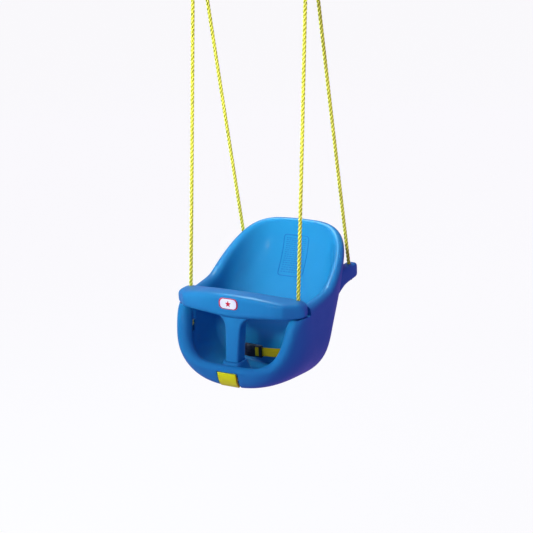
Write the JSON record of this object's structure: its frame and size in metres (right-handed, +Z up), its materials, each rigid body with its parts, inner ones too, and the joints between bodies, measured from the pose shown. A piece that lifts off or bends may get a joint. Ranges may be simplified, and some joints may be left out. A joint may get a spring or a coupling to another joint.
{
  "type": "toddler bucket swing",
  "caption": "Hanging moulded bucket seat for a toddler with a lift-up T-bar, push latch, lap belt and rope loops that run from steel rings to its arms and rear lugs.",
  "frame": {"origin": "middle of the swing axis, between the two points where the ropes bend over their steel rings", "axes": "+Z up, +X to the sitter's left along the swing axis, +Y to the seat's back"},
  "size_m": [0.3796, 0.4264, 1.2585],
  "materials": {
    "blue_shell": "satin moulded polyethylene, blue",
    "blue_bar": "satin moulded polyethylene, blue",
    "badge": "glossy raised badge, plain star",
    "latch": "satin moulded plastic, yellow",
    "steel": "zinc plated steel",
    "rope": "three-strand laid polypropylene, yellow",
    "webbing": "woven polypropylene webbing, yellow",
    "black_plastic": "matte black acetal",
    "clamp": "satin moulded plastic, blue"
  },
  "bodies": {
    "hanger": {"ring_left": "steel", "ring_right": "steel"},
    "seat": {"seat_shell": "blue_shell", "latch_pin": "steel", "latch_spring": "steel", "buckle_socket": "black_plastic", "belt_strap_left": "webbing", "belt_anchor_left": "steel", "rope_left": "rope", "rope_clamp_left": "clamp", "front_washer_left": "steel", "front_knot_left": "rope", "rear_washer_left": "steel", "rear_knot_left": "rope", "belt_strap_right": "webbing", "belt_anchor_right": "steel", "rope_right": "rope", "rope_clamp_right": "clamp", "front_washer_right": "steel", "front_knot_right": "rope", "rear_washer_right": "steel", "rear_knot_right": "rope"},
    "t_bar": {"t_bar": "blue_bar", "badge": "badge"},
    "latch": {"latch": "latch"},
    "buckle": {"buckle_plug": "black_plastic", "buckle_prongs": "black_plastic"}
  },
  "joints": [
    {"name": "swing", "type": "hinge", "parent": "hanger", "child": "seat", "pos_m": [0, 0, 0], "axis": [1, 0, 0], "range_deg": [-50, 50]},
    {"name": "t_bar_lift", "type": "slide", "parent": "seat", "child": "t_bar", "axis": [0, 0.0996, 0.995], "range_m": [0, 0.3]},
    {"name": "latch_press", "type": "hinge", "parent": "seat", "child": "latch", "pos_m": [0, -0.18207, -1.15305], "axis": [1, 0, 0], "range_deg": [0, 15], "stiffness_Nm_per_rad": 0.4, "springref_deg": -6.88, "deforming": ["latch_spring"]},
    {"name": "buckle_release", "type": "slide", "parent": "seat", "child": "buckle", "axis": [1, 0, 0], "range_m": [0, 0.035], "deforming": ["buckle_prongs", "belt_strap_left"]}
  ]
}
